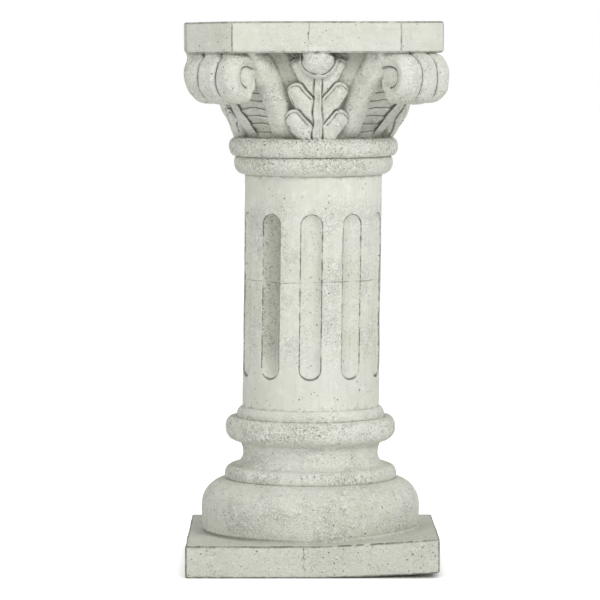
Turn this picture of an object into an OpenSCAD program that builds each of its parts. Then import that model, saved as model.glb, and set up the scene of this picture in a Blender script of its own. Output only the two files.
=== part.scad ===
// Garden column pedestal, cast in one piece: a square plinth, an Attic base of
// stacked rings, a short fluted shaft, a two-ring neck and a capital with four
// corner volutes, four oak-like leaves and a slab top with its corners cut off.
// Millimetres, +Z up, origin at the middle of the underside.

/* [Plinth] */
// Side of the square foot slab
plinth_w = 330; // [290:5:400]
// Thickness of the foot slab
plinth_h = 42; // [30:1:60]

/* [Base mouldings] */
// How far the cushion ring on the plinth stands out from the shaft
cushion_out = 53.5; // [44:0.5:60]
// Height of the cushion ring
cushion_h = 71; // [55:1:90]
// How far the bead on top of the cushion ring stands out from the shaft
bead_out = 23; // [16:0.5:32]
// Height of that bead
bead_h = 17; // [12:0.5:24]
// Height of the hollow between the bead and the upper ring
hollow_h = 33; // [24:1:45]
// How far the upper ring stands out from the shaft
upper_ring_out = 22.5; // [17:0.5:30]
// Height of the upper ring
upper_ring_h = 30; // [22:1:40]
// Height of the collar at the foot of the shaft
collar_h = 13; // [9:0.5:18]
// How far the collar stands out from the shaft
collar_out = 7; // [3:0.5:12]

/* [Shaft] */
// Radius of the shaft
shaft_r = 91; // [80:0.5:109]
// Height of the shaft between the collar and the neck
shaft_h = 312; // [240:1:420]
// Number of flutes
flutes = 10; // [8:1:12]
// Width of one flute at the surface
flute_w = 28.8; // [20:0.2:34]
// Depth of one flute
flute_d = 7; // [4:0.5:10]
// Plain shaft left below the flutes
flute_foot = 43; // [20:1:70]
// Plain shaft left above the flutes
flute_head = 47; // [20:1:70]
// How far the flutes are turned from the faces of the capital, in degrees
flute_turn = -3.5; // [-18:0.5:18]

/* [Neck] */
// How far the lower neck ring stands out from the shaft
neck_lower_out = 13.5; // [8:0.5:18]
// Height of the lower neck ring
neck_lower_h = 24; // [16:1:32]
// How far the upper neck ring stands out from the shaft
neck_upper_out = 21; // [14:0.5:28]
// Height of the upper neck ring
neck_upper_h = 25; // [16:1:32]

/* [Bell] */
// Height of the bell between the neck and the slab top
bell_h = 112; // [90:1:140]
// How far the bell's foot stays inside the shaft's face
bell_foot_in = 5; // [3:0.5:20]
// How far the bell stays behind the slab's face under it
bell_top_in = 24.5; // [22:0.5:40]

/* [Slab top] */
// Width of the slab top
slab_w = 335; // [300:1:405]
// Thickness of the slab top
slab_h = 41; // [30:1:60]
// Length cut off each side at each corner of the slab
corner_cut = 60; // [40:1:80]

/* [Volutes] */
// Radius of a volute's middle rib
volute_r = 34; // [26:0.5:40]
// Length of a volute from spiral face to spiral face
volute_len = 74; // [56:1:90]
// Width of the middle rib between the two grooves
volute_rib_w = 30; // [20:1:40]
// How far the volute's axis lies behind the slab's cut corner
volute_inset = 17; // [8:0.5:26]
// How far the volute reaches up into the slab
volute_bite = 5; // [2:0.5:8]

/* [Stalks] */
// How far a stalk's face stands out from the shaft at the neck
stalk_foot_out = 3; // [-2:0.5:8]
// Width of a stalk at the neck
stalk_foot_w = 48; // [36:1:60]
// Width of the raised border on each side of a stalk
stalk_border_w = 9; // [5:0.5:12]
// Depth of the sunk strip between the borders
stalk_sink = 4.5; // [2:0.5:7]
// Number of rung lines cut across the strip
rungs = 4; // [2:1:6]

/* [Leaves] */
// How far a leaf's face stands out from the shaft at the neck
leaf_foot_out = 9; // [4:0.5:14]
// How far a leaf's face stays behind the slab's face under it
leaf_top_in = 19.5; // [14:0.5:26]
// Width across a leaf's widest lobes
leaf_w = 86; // [70:1:96]
// Width of the midrib at the neck
midrib_w = 13; // [8:0.5:18]
// How far the midrib stands out from the leaf
midrib_out = 3; // [1.5:0.5:5]
// Depth of the dish carved in each lobe
dish_d = 3.5; // [2:0.5:5]
// Radius of the round cutter that carves the dish
dish_r = 15; // [11:0.5:18]

/* [Fleurons] */
// Radius of the round bud at the top of each leaf
bud_r = 20; // [14:0.5:24]
// How far the middle of the bud lies below the slab
bud_drop = 6.5; // [3:0.5:12]
// How far the bud stays behind the slab's face
bud_inset = 0.6; // [0.4:0.1:8]

/* [Hidden] */
stone = [0.82, 0.84, 0.77];
arc_n = 10;              // straight steps in a quarter of a moulding's curve
over = 20;               // how far a cutter runs past what it cuts
root_r = 45;             // stalks, leaves and buds are rooted this near the axis
volute_face_share = 0.82; // radius of a volute's flat end over its middle rib's
volute_groove_d = 2.2;   // depth of the two grooves round a volute
eye_r = 9;               // radius of the round eye that a volute's spiral line winds out from
spiral_pitch = 11;       // how far one turn of the spiral line lies outside the last
spiral_turns = 1.3;      // turns from the eye to the rim
spiral_line_w = 2.4;     // width of the spiral line
spiral_line_d = 3;       // depth of the spiral line
rung_line_w = 1.6;       // width of a rung line
rung_line_d = 1.2;       // depth of a rung line
cup_over = 2.5;          // the cup behind a bud is this much larger than the bud
cup_back = 6;            // and lies this much nearer to the axis

// Levels, from the floor up
cushion_z = plinth_h;
bead_z = cushion_z + cushion_h;
hollow_z = bead_z + bead_h;
upper_ring_z = hollow_z + hollow_h;
collar_z = upper_ring_z + upper_ring_h;
shaft_z = collar_z + collar_h;
neck_lower_z = shaft_z + shaft_h;
neck_upper_z = neck_lower_z + neck_lower_h;
bell_z = neck_upper_z + neck_upper_h;
slab_z = bell_z + bell_h;

// Radii that follow the shaft
cushion_r = shaft_r + cushion_out;
bead_r = shaft_r + bead_out;
upper_ring_r = shaft_r + upper_ring_out;
collar_r = shaft_r + collar_out;
neck_lower_r = shaft_r + neck_lower_out;
neck_upper_r = shaft_r + neck_upper_out;
hollow_r = shaft_r - 1;
bell_foot_r = shaft_r - bell_foot_in;
stalk_foot_r = shaft_r + stalk_foot_out;
leaf_foot_r = shaft_r + leaf_foot_out;

// Radii that follow the slab
bell_top_r = slab_w / 2 - bell_top_in;
leaf_top_r = slab_w / 2 - leaf_top_in;

// The volutes hang on the slab's cut corners
cut_corner_r = slab_w / sqrt(2) - corner_cut / sqrt(2);
volute_axis_r = cut_corner_r - volute_inset;
volute_z = slab_z + volute_bite - volute_r;

// A half-round moulding from z to z + h, whose crest is at r and whose edges are at r - out
function bead_curve(r, z, h, out) =
    [for (i = [0:2 * arc_n]) let (a = -90 + 90 * i / arc_n)
        [r - out + out * cos(a), z + h / 2 + h / 2 * sin(a)]];

// A quarter of an ellipse from its lowest point outwards: centre, half axes, start and end angle
function arc_curve(centre, rx, rz, from, to) =
    [for (i = [0:arc_n]) let (a = from + (to - from) * i / arc_n)
        [centre[0] + rx * cos(a), centre[1] + rz * sin(a)]];

// The cushion ring bulges most just over half way up, and its foot is a little narrower
cushion_foot_r = cushion_r - 8.5;
cushion_crest_z = cushion_z + cushion_h * 0.52;
function cushion_curve() = concat(
    [for (i = [0:arc_n - 1]) let (a = -58 + 58 * i / arc_n)
        [cushion_foot_r + (cushion_r - cushion_foot_r) * (cos(a) - cos(58)) / (1 - cos(58)),
         cushion_crest_z + (cushion_crest_z - cushion_z) * sin(a) / sin(58)]],
    arc_curve([bead_r - 4, cushion_crest_z], cushion_r - bead_r + 4, bead_z - cushion_crest_z, 0, 88));

// The hollow: a deep curve whose lower lip is wider than its upper one
hollow_waist_z = hollow_z + hollow_h * 0.5;
function hollow_curve() = concat(
    arc_curve([bead_r - 6, hollow_waist_z], bead_r - 6 - hollow_r, hollow_waist_z - hollow_z, 270, 180),
    arc_curve([hollow_r + 9, hollow_waist_z], 9, upper_ring_z - hollow_waist_z, 180, 92));

// The bell opens slowly at its foot and fast under the slab
function bell_r(t) = bell_foot_r + (bell_top_r - bell_foot_r) * pow(t, 1.5);
function bell_curve() = [for (i = [0:arc_n]) [bell_r(i / arc_n), bell_z + bell_h * i / arc_n]];

module turned_body() {
    buried = 3;
    profile = concat(
        [[0, cushion_z - buried], [cushion_foot_r, cushion_z - buried]],
        cushion_curve(),
        bead_curve(bead_r, bead_z, bead_h, 6),
        hollow_curve(),
        bead_curve(upper_ring_r, upper_ring_z, upper_ring_h, 15),
        bead_curve(collar_r, collar_z, collar_h, collar_out - 1),
        [[shaft_r, shaft_z], [shaft_r, neck_lower_z]],
        bead_curve(neck_lower_r, neck_lower_z, neck_lower_h, neck_lower_out - 1),
        bead_curve(neck_upper_r, neck_upper_z, neck_upper_h, neck_upper_out - 8),
        bell_curve(),
        [[bell_top_r, slab_z + buried], [0, slab_z + buried]]);
    rotate_extrude($fn = 96) polygon(profile);
}

module flute_cutters() {
    half = flute_w / 2;
    edge_x = sqrt(shaft_r * shaft_r - half * half);
    sag = edge_x - (shaft_r - flute_d);
    cut_r = (half * half + sag * sag) / (2 * sag);
    foot = shaft_z + flute_foot + half;
    head = neck_lower_z - flute_head - half;
    for (i = [0:flutes - 1])
        rotate([0, 0, -90 + flute_turn + i * 360 / flutes])
            translate([shaft_r - flute_d + cut_r, 0, 0]) {
                translate([0, 0, foot]) cylinder(r = cut_r, h = head - foot, $fn = 64);
                translate([0, 0, foot]) sphere(r = cut_r, $fn = 64);
                translate([0, 0, head]) sphere(r = cut_r, $fn = 64);
            }
}

module plinth() {
    translate([-plinth_w / 2, -plinth_w / 2, 0]) cube([plinth_w, plinth_w, plinth_h]);
}

module slab_top() {
    w = slab_w / 2;
    c = w - corner_cut;
    translate([0, 0, slab_z])
        linear_extrude(height = slab_h)
            polygon([[w, -c], [w, c], [c, w], [-c, w], [-w, c], [-w, -c], [-c, -w], [c, -w]]);
}

// Half of a volute's rib profile: [radius, distance along the axis], from the middle to the end
function volute_half() = let (
        groove_at = volute_rib_w / 2,
        end_at = volute_len / 2,
        end_r = volute_r * volute_face_share,
        rib_r = volute_r - 0.8) concat(
    [for (i = [0:4]) let (a = 90 * i / 4)
        [volute_r - volute_groove_d * (1 - cos(a)), groove_at * sin(a)]],
    [for (i = [1:5]) let (a = 90 * i / 5)
        [rib_r - volute_groove_d * (1 - sin(a)), groove_at + (end_at - groove_at) * 0.35 * (1 - cos(a))]],
    [for (i = [1:6]) let (a = 90 * i / 6)
        [end_r + (rib_r - end_r) * cos(a), groove_at + (end_at - groove_at) * (0.35 + 0.65 * sin(a))]]);

module volute_roll() {
    half = volute_half();
    n = len(half);
    profile = concat([[0, -volute_len / 2]],
        [for (i = [n - 1:-1:1]) [half[i][0], -half[i][1]]],
        half,
        [[0, volute_len / 2]]);
    rotate([90, 0, 0]) rotate_extrude($fn = 72) polygon(profile);
}

// The spiral line cut into a volute's end: it starts under the eye and winds out to the rim
module spiral_line() {
    steps = 32;
    function at(i, side) = let (
            turn = spiral_turns * i / steps,
            r = eye_r + spiral_pitch * turn + side)
        [r * cos(360 * turn - 90), r * sin(360 * turn - 90)];
    linear_extrude(height = spiral_line_d + over)
        polygon(concat([for (i = [0:steps]) at(i, spiral_line_w / 2)],
                       [for (i = [steps:-1:0]) at(i, -spiral_line_w / 2)]));
}

module volute() {
    difference() {
        translate([volute_axis_r, 0, volute_z]) volute_roll();
        for (side = [-1, 1])
            translate([volute_axis_r, side * (volute_len / 2 - spiral_line_d), volute_z])
                mirror([0, side > 0 ? 0 : 1, 0])
                    rotate([-90, 0, 0])
                        mirror([0, 1, 0])
                            spiral_line();
    }
}

// A stalk's face leans out from the neck and ends behind its volute
stalk_head_r = volute_axis_r - volute_r * 0.35;
function stalk_face(sink) = [for (i = [0:arc_n]) let (t = i / arc_n)
    [stalk_foot_r - sink + (stalk_head_r - stalk_foot_r) * sin(90 * pow(t, 0.92)),
     bell_z - 2 + (bell_h + 4) * t]];

// A tapered bar, as wide as the stalk less 2 * inset, that the stalk's side shape is cut from
module stalk_taper(inset) {
    foot = stalk_foot_w / 2 - inset;
    head = volute_len / 2 - 0.7 - inset;
    rotate([90, 0, 90])
        linear_extrude(height = volute_axis_r + over)
            polygon([[-foot, bell_z - 3], [foot, bell_z - 3], [head, volute_z], [head, slab_z + 3],
                     [-head, slab_z + 3], [-head, volute_z]]);
}

module stalk() {
    strip = stalk_face(stalk_sink);
    difference() {
        intersection() {
            rotate([90, 0, 0])
                linear_extrude(height = volute_len + over, center = true)
                    polygon(concat([[root_r, bell_z - 2]], stalk_face(0), [[root_r, slab_z + 2]]));
            stalk_taper(0);
        }
        intersection() {
            rotate([90, 0, 0])
                linear_extrude(height = volute_len + over, center = true)
                    polygon(concat(strip, [[volute_axis_r + over, slab_z + 2], [volute_axis_r + over, bell_z - 2]]));
            stalk_taper(stalk_border_w);
        }
        for (i = [1:rungs]) {
            t = 0.02 + 0.42 * i / rungs;
            r = stalk_foot_r - stalk_sink + (stalk_head_r - stalk_foot_r) * sin(90 * pow(t, 0.92));
            translate([r - rung_line_d, -volute_len, bell_z + (bell_h + 4) * t])
                cube([over, 2 * volute_len, rung_line_w]);
        }
    }
}

// Leaf lobes: [height of the foot, length, width, lean from upright in degrees]
lobes = [
    [8, leaf_w * 0.555, leaf_w * 0.35, 50],
    [34, leaf_w * 0.60, leaf_w * 0.31, 42],
    [60, leaf_w * 0.56, leaf_w * 0.25, 34]];
lobe_foot_y = 4;

function leaf_face_r(h) = leaf_foot_r + (leaf_top_r - leaf_foot_r) * pow(max(0, h) / bell_h, 1.3);

// A round-ended lobe outline, from its foot at [0, 0] to its tip at [0, length]
function lobe_outline(length, width) = [for (i = [0:23]) let (
        a = 360 * i / 24,
        belly = 0.62 + 0.38 * sin(a))
    [width / 2 * cos(a) * (0.55 + 0.45 * belly), length * (1 + sin(a)) / 2]];

module leaf_outline() {
    for (lobe = lobes, side = [-1, 1])
        translate([side * lobe_foot_y, lobe[0]])
            rotate(-side * lobe[3])
                polygon(lobe_outline(lobe[1], lobe[2]));
    polygon([[-leaf_w * 0.27, -2], [leaf_w * 0.27, -2], [leaf_w * 0.14, bell_h * 0.45],
             [leaf_w * 0.12, bell_h * 0.9], [-leaf_w * 0.12, bell_h * 0.9], [-leaf_w * 0.14, bell_h * 0.45]]);
}

// A solid of revolution whose side follows the leaf's face, raised by out
module leaf_round(out) {
    rotate_extrude($fn = 96)
        polygon(concat([[root_r, bell_z - 2]],
            [for (i = [0:arc_n]) [leaf_face_r(bell_h * i / arc_n) + out, bell_z - 2 + (bell_h + 1) * i / arc_n]],
            [[root_r, slab_z - 1]]));
}

module upright_prism(depth) {
    translate([root_r, 0, bell_z]) rotate([90, 0, 90]) linear_extrude(height = depth) children();
}

module leaf() {
    depth = leaf_top_r - root_r + over;
    difference() {
        intersection() {
            leaf_round(0);
            upright_prism(depth) leaf_outline();
        }
        for (lobe = lobes, side = [-1, 1]) {
            reach = lobe[1] * 0.7;
            h = lobe[0] + reach * cos(lobe[3]);
            y = side * (lobe_foot_y + reach * sin(lobe[3]));
            face_x = sqrt(pow(leaf_face_r(h), 2) - y * y);
            translate([face_x + dish_r - dish_d, y * (1 + dish_r / leaf_face_r(h)), bell_z + h])
                sphere(r = dish_r, $fn = 48);
        }
    }
    intersection() {
        leaf_round(midrib_out);
        upright_prism(depth)
            polygon([[-midrib_w / 2, -2], [midrib_w / 2, -2],
                     [midrib_w * 0.3, bell_h * 0.85], [-midrib_w * 0.3, bell_h * 0.85]]);
    }
}

module fleuron() {
    x = slab_w / 2 - bud_inset - bud_r;
    z = slab_z - bud_drop;
    translate([x, 0, z]) sphere(r = bud_r, $fn = 64);
    translate([x - cup_back, 0, z - 2]) sphere(r = bud_r + cup_over, $fn = 64);
}

module capital_carving() {
    for (i = [0:3]) {
        rotate([0, 0, 45 + 90 * i]) {
            stalk();
            volute();
        }
        rotate([0, 0, 90 * i]) {
            leaf();
            fleuron();
        }
    }
}

module column() {
    color(stone)
        union() {
            plinth();
            difference() {
                turned_body();
                flute_cutters();
            }
            capital_carving();
            slab_top();
        }
}

column();
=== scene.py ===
"""Garden column pedestal: the finished look of a one-piece painted casting, and a plain studio to show it in.

The casting is sculpted as a distance field (negative inside the stone, positive outside), because its
rings, flutes, leaves and volutes run into each other with soft cast fillets. The field becomes one mesh,
which then gets the small unevenness of a hand-finished casting. Lengths are in metres.
"""

import math
from functools import reduce
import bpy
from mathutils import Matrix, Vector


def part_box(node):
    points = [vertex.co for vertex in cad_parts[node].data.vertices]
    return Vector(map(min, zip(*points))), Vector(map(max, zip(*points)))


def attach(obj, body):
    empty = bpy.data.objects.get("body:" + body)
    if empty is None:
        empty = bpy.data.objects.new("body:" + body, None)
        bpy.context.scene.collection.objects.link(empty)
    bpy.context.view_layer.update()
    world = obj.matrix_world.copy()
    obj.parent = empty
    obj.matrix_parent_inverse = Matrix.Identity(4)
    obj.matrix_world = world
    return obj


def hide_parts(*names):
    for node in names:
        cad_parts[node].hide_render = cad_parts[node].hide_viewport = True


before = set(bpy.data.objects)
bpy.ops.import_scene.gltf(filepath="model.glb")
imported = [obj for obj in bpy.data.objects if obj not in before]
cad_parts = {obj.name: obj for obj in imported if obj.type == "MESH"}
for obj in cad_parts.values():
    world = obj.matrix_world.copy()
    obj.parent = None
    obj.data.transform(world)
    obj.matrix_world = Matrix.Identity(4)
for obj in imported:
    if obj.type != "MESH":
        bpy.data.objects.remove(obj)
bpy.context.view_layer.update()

from types import SimpleNamespace

import bpy
import numpy as np
import openvdb
from bpy.props import FloatProperty, FloatVectorProperty, IntProperty, PointerProperty
from bpy.types import Operator, Panel, PropertyGroup
from mathutils import Vector

bl_info = {
    "name": "Garden Column Pedestal",
    "version": (1, 0, 0),
    "blender": (4, 5, 0),
    "location": "View3D > Sidebar > Column",
    "description": "Builds a painted cast column pedestal and a white studio round it",
    "category": "Add Mesh",
}

COLUMN_LOW, COLUMN_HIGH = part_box("column")
MM = 0.001


def linear(red, green, blue):
    """Scene-linear colour from the 0 to 255 values of a paint chart."""
    def channel(value):
        value /= 255
        return value / 12.92 if value <= 0.04045 else ((value + 0.055) / 1.055) ** 2.4
    return channel(red), channel(green), channel(blue)


# --------------------------------------------------------------------------------------------------
# Sizes and colours
# --------------------------------------------------------------------------------------------------

def length(name, millimetres, description):
    return FloatProperty(name=name, description=description, default=millimetres * MM, unit="LENGTH",
                         precision=4)


def angle(name, degrees, description):
    return FloatProperty(name=name, description=description, default=math.radians(degrees), subtype="ANGLE")


def colour(name, rgb, description):
    return FloatVectorProperty(name=name, description=description, default=linear(*rgb), size=3,
                               subtype="COLOR", min=0, max=1)


class ColumnSizes(PropertyGroup):
    height: FloatProperty(name="Height", description="Height of the whole column", unit="LENGTH",
                          default=COLUMN_HIGH.z - COLUMN_LOW.z)
    plinth_side: length("Plinth Side", 330, "Side of the square foot slab")
    plinth_height: length("Plinth Height", 42, "Thickness of the foot slab")
    cushion_radius: length("Cushion Radius", 145, "Crest of the large ring on the plinth")
    bead_radius: length("Bead Radius", 114.5, "Crest of the bead on the large ring")
    hollow_radius: length("Hollow Radius", 90, "Waist of the hollow between the two rings")
    upper_ring_radius: length("Upper Ring Radius", 113.5, "Crest of the ring over the hollow")
    collar_radius: length("Collar Radius", 98.3, "Crest of the collar at the foot of the shaft")
    shaft_radius: length("Shaft Radius", 91, "Radius of the shaft")
    flute_count: IntProperty(name="Flutes", description="Number of flutes round the shaft", default=10,
                             min=3)
    flute_width: length("Flute Width", 28.8, "Width of a flute at the shaft's face")
    flute_depth: length("Flute Depth", 8.5, "Depth of a flute")
    flute_foot: length("Flute Foot", 250, "Height of the flutes' lower ends")
    flute_head: length("Flute Head", 468, "Height of the flutes' upper ends")
    flute_turn: angle("Flute Turn", -3.5, "How far the flutes are turned from the slab's faces")
    neck_lower_radius: length("Lower Neck Ring", 105.7, "Crest of the lower neck ring")
    neck_upper_radius: length("Upper Neck Ring", 112.3, "Crest of the upper neck ring")
    neck_foot: length("Neck Foot", 518, "Height of the underside of the lower neck ring")
    bell_foot: length("Bell Foot", 567, "Height of the top of the upper neck ring")
    slab_width: length("Slab Width", 335, "Width of the slab top")
    slab_height: length("Slab Height", 40.5, "Thickness of the slab top")
    corner_cut: length("Corner Cut", 58.5, "Length cut off each side at each corner of the slab")
    volute_radius: length("Volute Radius", 34.5, "Radius of a volute's roll")
    volute_length: length("Volute Length", 92, "Length of a volute's roll from spiral to spiral")
    volute_reach: length("Volute Reach", 170, "Distance from the column's axis to a volute's axis")
    volute_height: length("Volute Height", 648.5, "Height of a volute's axis")
    bud_radius: length("Bud Radius", 21, "Half the width of the round bud under the slab")
    lean: length("Lean", 7.3, "How far the capital stands to the right of the plinth")
    corner_lift: length("Corner Lift", 6.5, "How far the plinth's front right corner is warped off the floor")
    plinth_turn: angle("Plinth Turn", -2.3, "How far the plinth is turned from the slab's faces")
    voxel: length("Voxel", 1.25, "Step of the sculpting grid")


class PaintColours(PropertyGroup):
    paint: colour("Paint", (221, 222, 212), "Cream white paint")
    # The dry brush colour also paints highlights on the dab ridges and on the bud.
    dry_brush_and_highlight: colour("Dry Brush", (237, 239, 230), "Whiter paint dabbed over the raised parts")
    aged_paint: colour("Aged Paint", (209, 211, 197), "Yellower paint where the white is thin")
    # The wash colour is also the colour of the painted shade in hollows, under the slab, between the dabs and
    # in the left front flutes.
    wash_and_shade: colour("Wash", (116, 123, 98), "Grey-green wash that stays in the hollows")
    # The grime colour also paints shade in the recess under the slab by the bud, and specks on the shaded
    # left front flutes.
    grime_and_shade: colour("Grime", (52, 54, 44), "Near-black line in the deepest cuts and pits")
    cool_paint: colour("Cool Paint", (214, 215, 209), "Cooler paint in broad patches")
    bare_cement: colour("Bare Cement", (168, 168, 158), "Unpainted cement of the underside")


# Heights where the rings begin, are widest and end.
CUSHION_CREST, CUSHION_TOP = 77 * MM, 113.5 * MM
BEAD_CREST, BEAD_TOP = 119 * MM, 131 * MM
HOLLOW_WAIST, HOLLOW_HALF = 147 * MM, 16 * MM
UPPER_RING_FOOT, UPPER_RING_CREST, UPPER_RING_TOP = 164 * MM, 181 * MM, 195.5 * MM
COLLAR_FOOT, COLLAR_CREST, SHAFT_FOOT = 193.5 * MM, 199 * MM, 209 * MM
LOWER_NECK_TOP, UPPER_NECK_FOOT, UPPER_NECK_CREST = 542.5 * MM, 541.5 * MM, 555 * MM

BELL_FOOT_RADIUS, BELL_SPREAD = 93, 58

EYE_RADIUS = 13 * MM
VALLEY_SIDE = 15.5 * MM

# A stalk's sunk strip and the plates across it.
STRIP_FOOT, STRIP_SPREAD, STRIP_TOP = 12, 13, 76 * MM
PLATE_STEP = 10.3 * MM
PLATE_TILT = 0.06

# A leaf's face: its distance out at its foot, how it leans out and how it curves round the bell.
LEAF_OUT, LEAF_LEAN, LEAF_CURVE = 104, 0.45, 0.24
LOBES = (
    # foot side, foot height, length, foot radius, tip radius, lean from upright in degrees, upward hook
    (9.0, 4.0, 30.5, 13.5, 11.8, 51.0, 5.0),
    (6.0, 36.0, 34.5, 14.0, 11.4, 48.0, 5.5),
    (4.0, 68.0, 38.0, 11.5, 8.4, 44.0, 4.0),
)
RIM_SIDE, RIM_BACK, RIM_WIDTH = 3.2 * MM, 2.2 * MM, 1.6 * MM
MIDRIB_FOOT, MIDRIB_TAPER, MIDRIB_TOP = 5.8, 2.0, 85 * MM
BUD_DROP = 9.5 * MM

# Where the paint is rougher, and where the cracks run.
BEAD_BAND = (113 * MM, 132 * MM)
UPPER_RING_BAND = (164 * MM, 199 * MM)
SHAFT_CRACK = 379 * MM
END_CRACK, SIDE_CRACK = -11 * MM, 74 * MM
LINE_WAVER = 2.6 * MM

MOST_TRIANGLES = 195000


# --------------------------------------------------------------------------------------------------
# Distance fields
# --------------------------------------------------------------------------------------------------

def union(a, b, soft):
    """a and b together, with a fillet of about soft in the corner between them."""
    share = np.clip(0.5 + 0.5 * (b - a) / soft, 0.0, 1.0)
    return b + (a - b) * share - soft * share * (1.0 - share)


def common(a, b, soft):
    """What is inside both a and b, with the edge between them rounded by about soft."""
    return -union(-a, -b, soft)


def cut(body, cutter, soft):
    """body without cutter."""
    return common(body, -cutter, soft)


def smooth_step(low, high, value):
    t = np.clip((value - low) / (high - low), 0.0, 1.0)
    return t * t * (3.0 - 2.0 * t)


def quarter(radius, foot, crest, in_at_foot, in_at_crest, steps=10):
    """A quarter of an ellipse in (radius, height) from foot to crest. The two 'in' sizes say how far inside
    radius it starts and ends: one of them is 0, and that end is upright."""
    turn = np.linspace(0, math.pi / 2, steps)
    rise = crest - foot
    if in_at_crest == 0:
        return [(radius - in_at_foot * (1 - math.sin(a)), foot + rise * (1 - math.cos(a))) for a in turn]
    return [(radius - in_at_crest * (1 - math.cos(a)), foot + rise * math.sin(a)) for a in turn]


def turned_profile(size):
    """Outline of everything that is round about the axis, as (radius, height) from the plinth to the slab."""
    sunk_foot = size.plinth_height - 6 * MM
    bell_top = size.height - size.slab_height + 6 * MM
    lower_rings = (
        (size.cushion_radius, size.plinth_height, CUSHION_CREST, 3.5 * MM, 0),
        (size.cushion_radius, CUSHION_CREST, CUSHION_TOP, 0, 33 * MM, 14),
        (size.bead_radius, CUSHION_TOP, BEAD_CREST, 2 * MM, 0, 5),
        (size.bead_radius, BEAD_CREST, BEAD_TOP, 0, 8 * MM),
    )
    upper_rings = (
        (size.upper_ring_radius, UPPER_RING_FOOT, UPPER_RING_CREST, 14 * MM, 0),
        (size.upper_ring_radius, UPPER_RING_CREST, UPPER_RING_TOP, 0, 9 * MM),
        (size.collar_radius, COLLAR_FOOT, COLLAR_CREST, 1.5 * MM, 0, 5),
        (size.collar_radius, COLLAR_CREST, SHAFT_FOOT, 0, size.collar_radius - size.shaft_radius),
    )
    neck_rings = (
        (size.neck_lower_radius, size.neck_foot, size.neck_foot + 16 * MM, 14 * MM, 0),
        (size.neck_lower_radius, size.neck_foot + 16 * MM, LOWER_NECK_TOP, 0, 4 * MM, 6),
        (size.neck_upper_radius, UPPER_NECK_FOOT, UPPER_NECK_CREST, 10 * MM, 0),
        (size.neck_upper_radius, UPPER_NECK_CREST, size.bell_foot, 0, 8 * MM),
    )
    outline = [(0.0, sunk_foot), (size.cushion_radius - 4 * MM, sunk_foot)]
    outline += [point for ring in lower_rings for point in quarter(*ring)]
    outline += [(size.hollow_radius + HOLLOW_HALF * (1 - math.sin(a)),
                 HOLLOW_WAIST - HOLLOW_HALF * math.cos(a)) for a in np.linspace(0.15, math.pi / 2, 10)]
    outline += [(size.hollow_radius + 8 * MM * (1 - math.cos(a)),
                 HOLLOW_WAIST + HOLLOW_HALF * math.sin(a)) for a in np.linspace(0, math.pi / 2, 8)]
    outline += [point for ring in upper_rings for point in quarter(*ring)]
    outline += [(size.shaft_radius, size.neck_foot)]
    outline += [point for ring in neck_rings for point in quarter(*ring)]
    outline += [(bell_radius(size, z), z) for z in np.linspace(size.bell_foot, bell_top, 14)]
    return outline + [(0.0, bell_top)]


def bell_rise(size, z, low, high):
    """Height up the bell as a share, from 0 at its foot to 1 at the slab, held within low and high."""
    return np.clip((z - size.bell_foot) / (size.height - size.slab_height - size.bell_foot), low, high)


def bell_radius(size, z):
    """Radius of the bell behind the leaves: it opens slowly at its foot and faster under the slab."""
    return (BELL_FOOT_RADIUS + BELL_SPREAD * bell_rise(size, z, 0.0, 1.1) ** 1.45) * MM


def turned_field(size, radius, z):
    """Signed distance to the turned profile, for a column of radii and a row of heights."""
    outline = np.array(turned_profile(size))
    samples = np.arange(0.0, float(radius.max()) + 2 * MM, 1 * MM)
    r, h = np.meshgrid(samples, z.ravel(), indexing="ij")
    nearest = np.full(r.shape, 1.0)
    for start, end in zip(outline[:-1], outline[1:]):
        step = end - start
        along = step @ step
        if along < 1e-12:
            continue
        t = np.clip(((r - start[0]) * step[0] + (h - start[1]) * step[1]) / along, 0.0, 1.0)
        nearest = np.minimum(nearest, np.hypot(r - start[0] - t * step[0], h - start[1] - t * step[1]))
    heights = np.maximum.accumulate(outline[:, 1])
    face = np.interp(h, heights, outline[:, 0])
    inside = (r < face) & (h > outline[0, 1]) & (h < outline[-1, 1])
    table = np.where(inside, -nearest, nearest).astype(np.float32)
    place = radius / (1 * MM)
    row = np.minimum(place.astype(int), len(samples) - 2)
    share = (place - row)[:, :, None].astype(np.float32)
    return table[row] * (1 - share) + table[row + 1] * share


def plinth_field(size, x, y, z):
    half = size.plinth_side / 2
    sides = common(x - half, y - half, 3 * MM)
    return common(sides, np.maximum(z - size.plinth_height, -z), 2.5 * MM)


def slab_field(size, x, y, z):
    """The slab top: a square with its corners cut off and all its edges worn round."""
    half = size.slab_width / 2
    corner = (2 * half - size.corner_cut) / math.sqrt(2)
    sides = common(common(x - half, y - half, 1 * MM), (x + y) / math.sqrt(2) - corner, 1.5 * MM)
    low, high = size.height - size.slab_height, size.height
    return common(common(sides, z - high, 3.5 * MM), low - z, 5 * MM)


# The capital's corner fields use out, the distance from the column's axis along the diagonal, and side, the
# distance from the diagonal plane. Its face fields use out and side measured from the nearest face instead.


def stalk_face(size, z):
    """Distance from the axis to the stalk's face: it leans out from the neck and steepens by the volute."""
    rise = bell_rise(size, z, -0.1, 1.2)
    bow = 0.5 * rise + 0.5 * np.sin(0.5 * math.pi * np.minimum(rise, 1.0))
    return (90 + 66 * bow + 11 * smooth_step(0.42, 0.75, rise) + 3 * smooth_step(0.8, 1.02, rise)) * MM


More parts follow.
